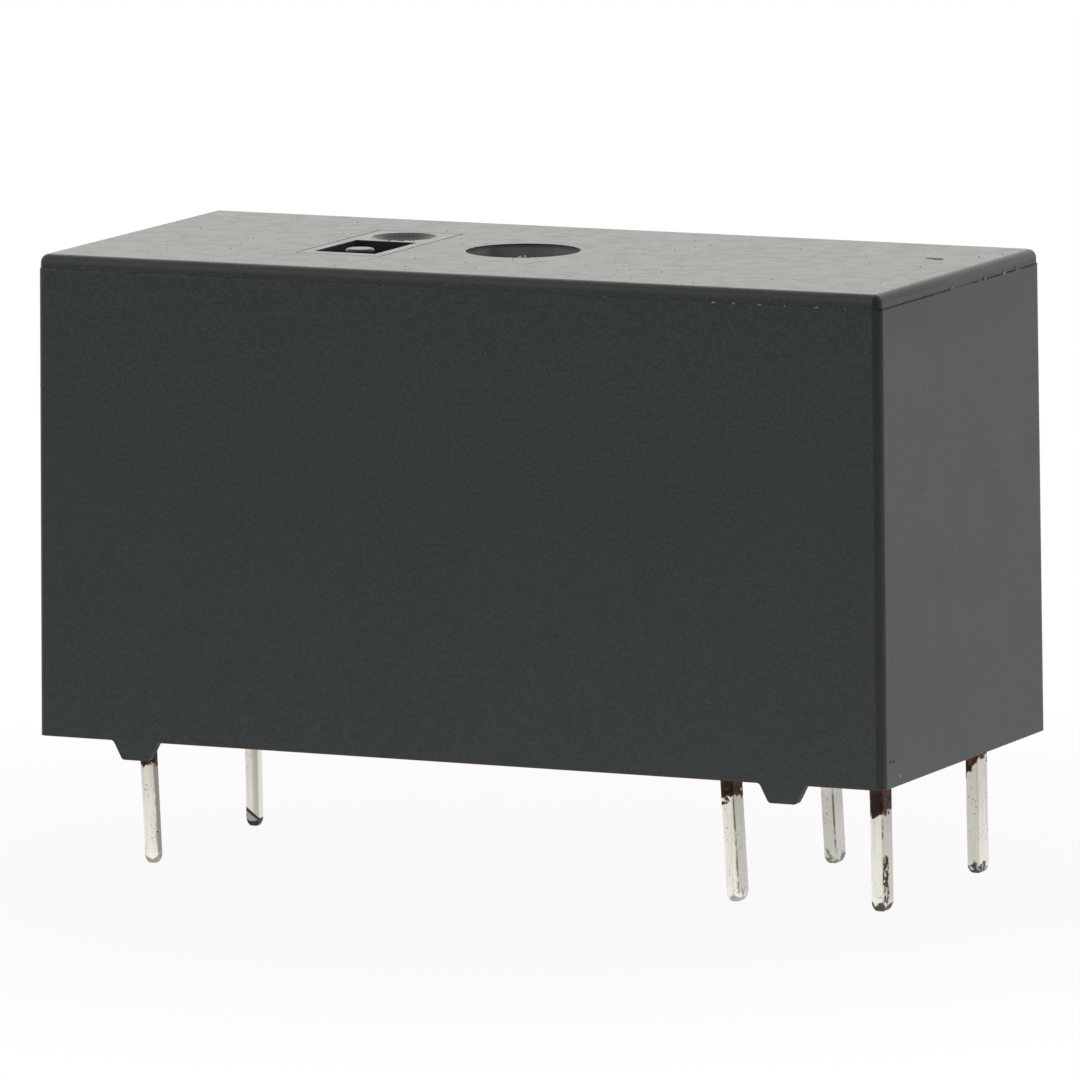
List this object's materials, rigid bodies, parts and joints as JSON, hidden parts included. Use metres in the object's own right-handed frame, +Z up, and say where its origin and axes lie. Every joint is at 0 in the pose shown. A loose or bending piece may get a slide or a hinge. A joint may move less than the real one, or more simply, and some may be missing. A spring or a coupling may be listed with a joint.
{
  "type": "pcb power relay",
  "caption": "Sealed upright box relay for circuit boards: moulded cover on stand-off feet, tinned pins below, coil, hinged armature, sliding card and make contact inside.",
  "frame": {"origin": "middle of the case on the circuit board's surface, where the stand-off feet rest", "axes": "+Z up from the board, +X along the case towards the contact end, +Y across the case"},
  "size_m": [0.0288, 0.0128, 0.0195],
  "materials": {
    "case_plastic": "moulded, fine-grained, matte",
    "base_plastic": "moulded, matte",
    "resin": "cast, satin",
    "bobbin_plastic": "moulded, matte",
    "copper_wire": "enamelled",
    "tape": "polyester film",
    "tinned_pins": "dull tin plating",
    "iron": "zinc plated, dull",
    "spring_bronze": "bare strip",
    "card_plastic": "moulded, matte",
    "contact_silver": "silver alloy, pressed"
  },
  "bodies": {
    "housing": {"cover": "case_plastic", "base": "base_plastic", "sealing_resin": "resin", "bobbin": "bobbin_plastic", "coil_winding": "copper_wire", "coil_tape": "tape", "coil_lead_front": "copper_wire", "coil_lead_back": "copper_wire", "coil_terminal_front": "tinned_pins", "coil_terminal_back": "tinned_pins", "core": "iron", "yoke": "iron", "hinge_spring": "spring_bronze", "common_terminal": "tinned_pins", "spring_rivets": "spring_bronze", "fixed_terminal": "tinned_pins", "fixed_contact": "contact_silver"},
    "armature": {"armature": "iron"},
    "card": {"card": "card_plastic"},
    "contact_leaf": {"moving_spring": "spring_bronze", "moving_contact": "contact_silver"}
  },
  "joints": [
    {"name": "armature_hinge", "type": "hinge", "parent": "housing", "child": "armature", "pos_m": [-0.01113, 0, 0.0031], "axis": [0, 1, 0], "range_deg": [0, 4.02], "stiffness_Nm_per_rad": 0.1, "springref_deg": -1.15},
    {"name": "card_slide", "type": "slide", "parent": "housing", "child": "card", "axis": [1, 0, 0], "range_m": [0, 0.000734]},
    {"name": "leaf_bend", "type": "hinge", "parent": "housing", "child": "contact_leaf", "pos_m": [0.0078, 0, 0.0055], "axis": [0, 1, 0], "range_deg": [0, 5.23], "deforming": ["moving_spring"]}
  ],
  "couplings": [
    {"joint": "card_slide", "follows": "armature_hinge", "m_per_rad": 0.010441},
    {"joint": "leaf_bend", "follows": "armature_hinge", "ratio": 1.2988}
  ]
}
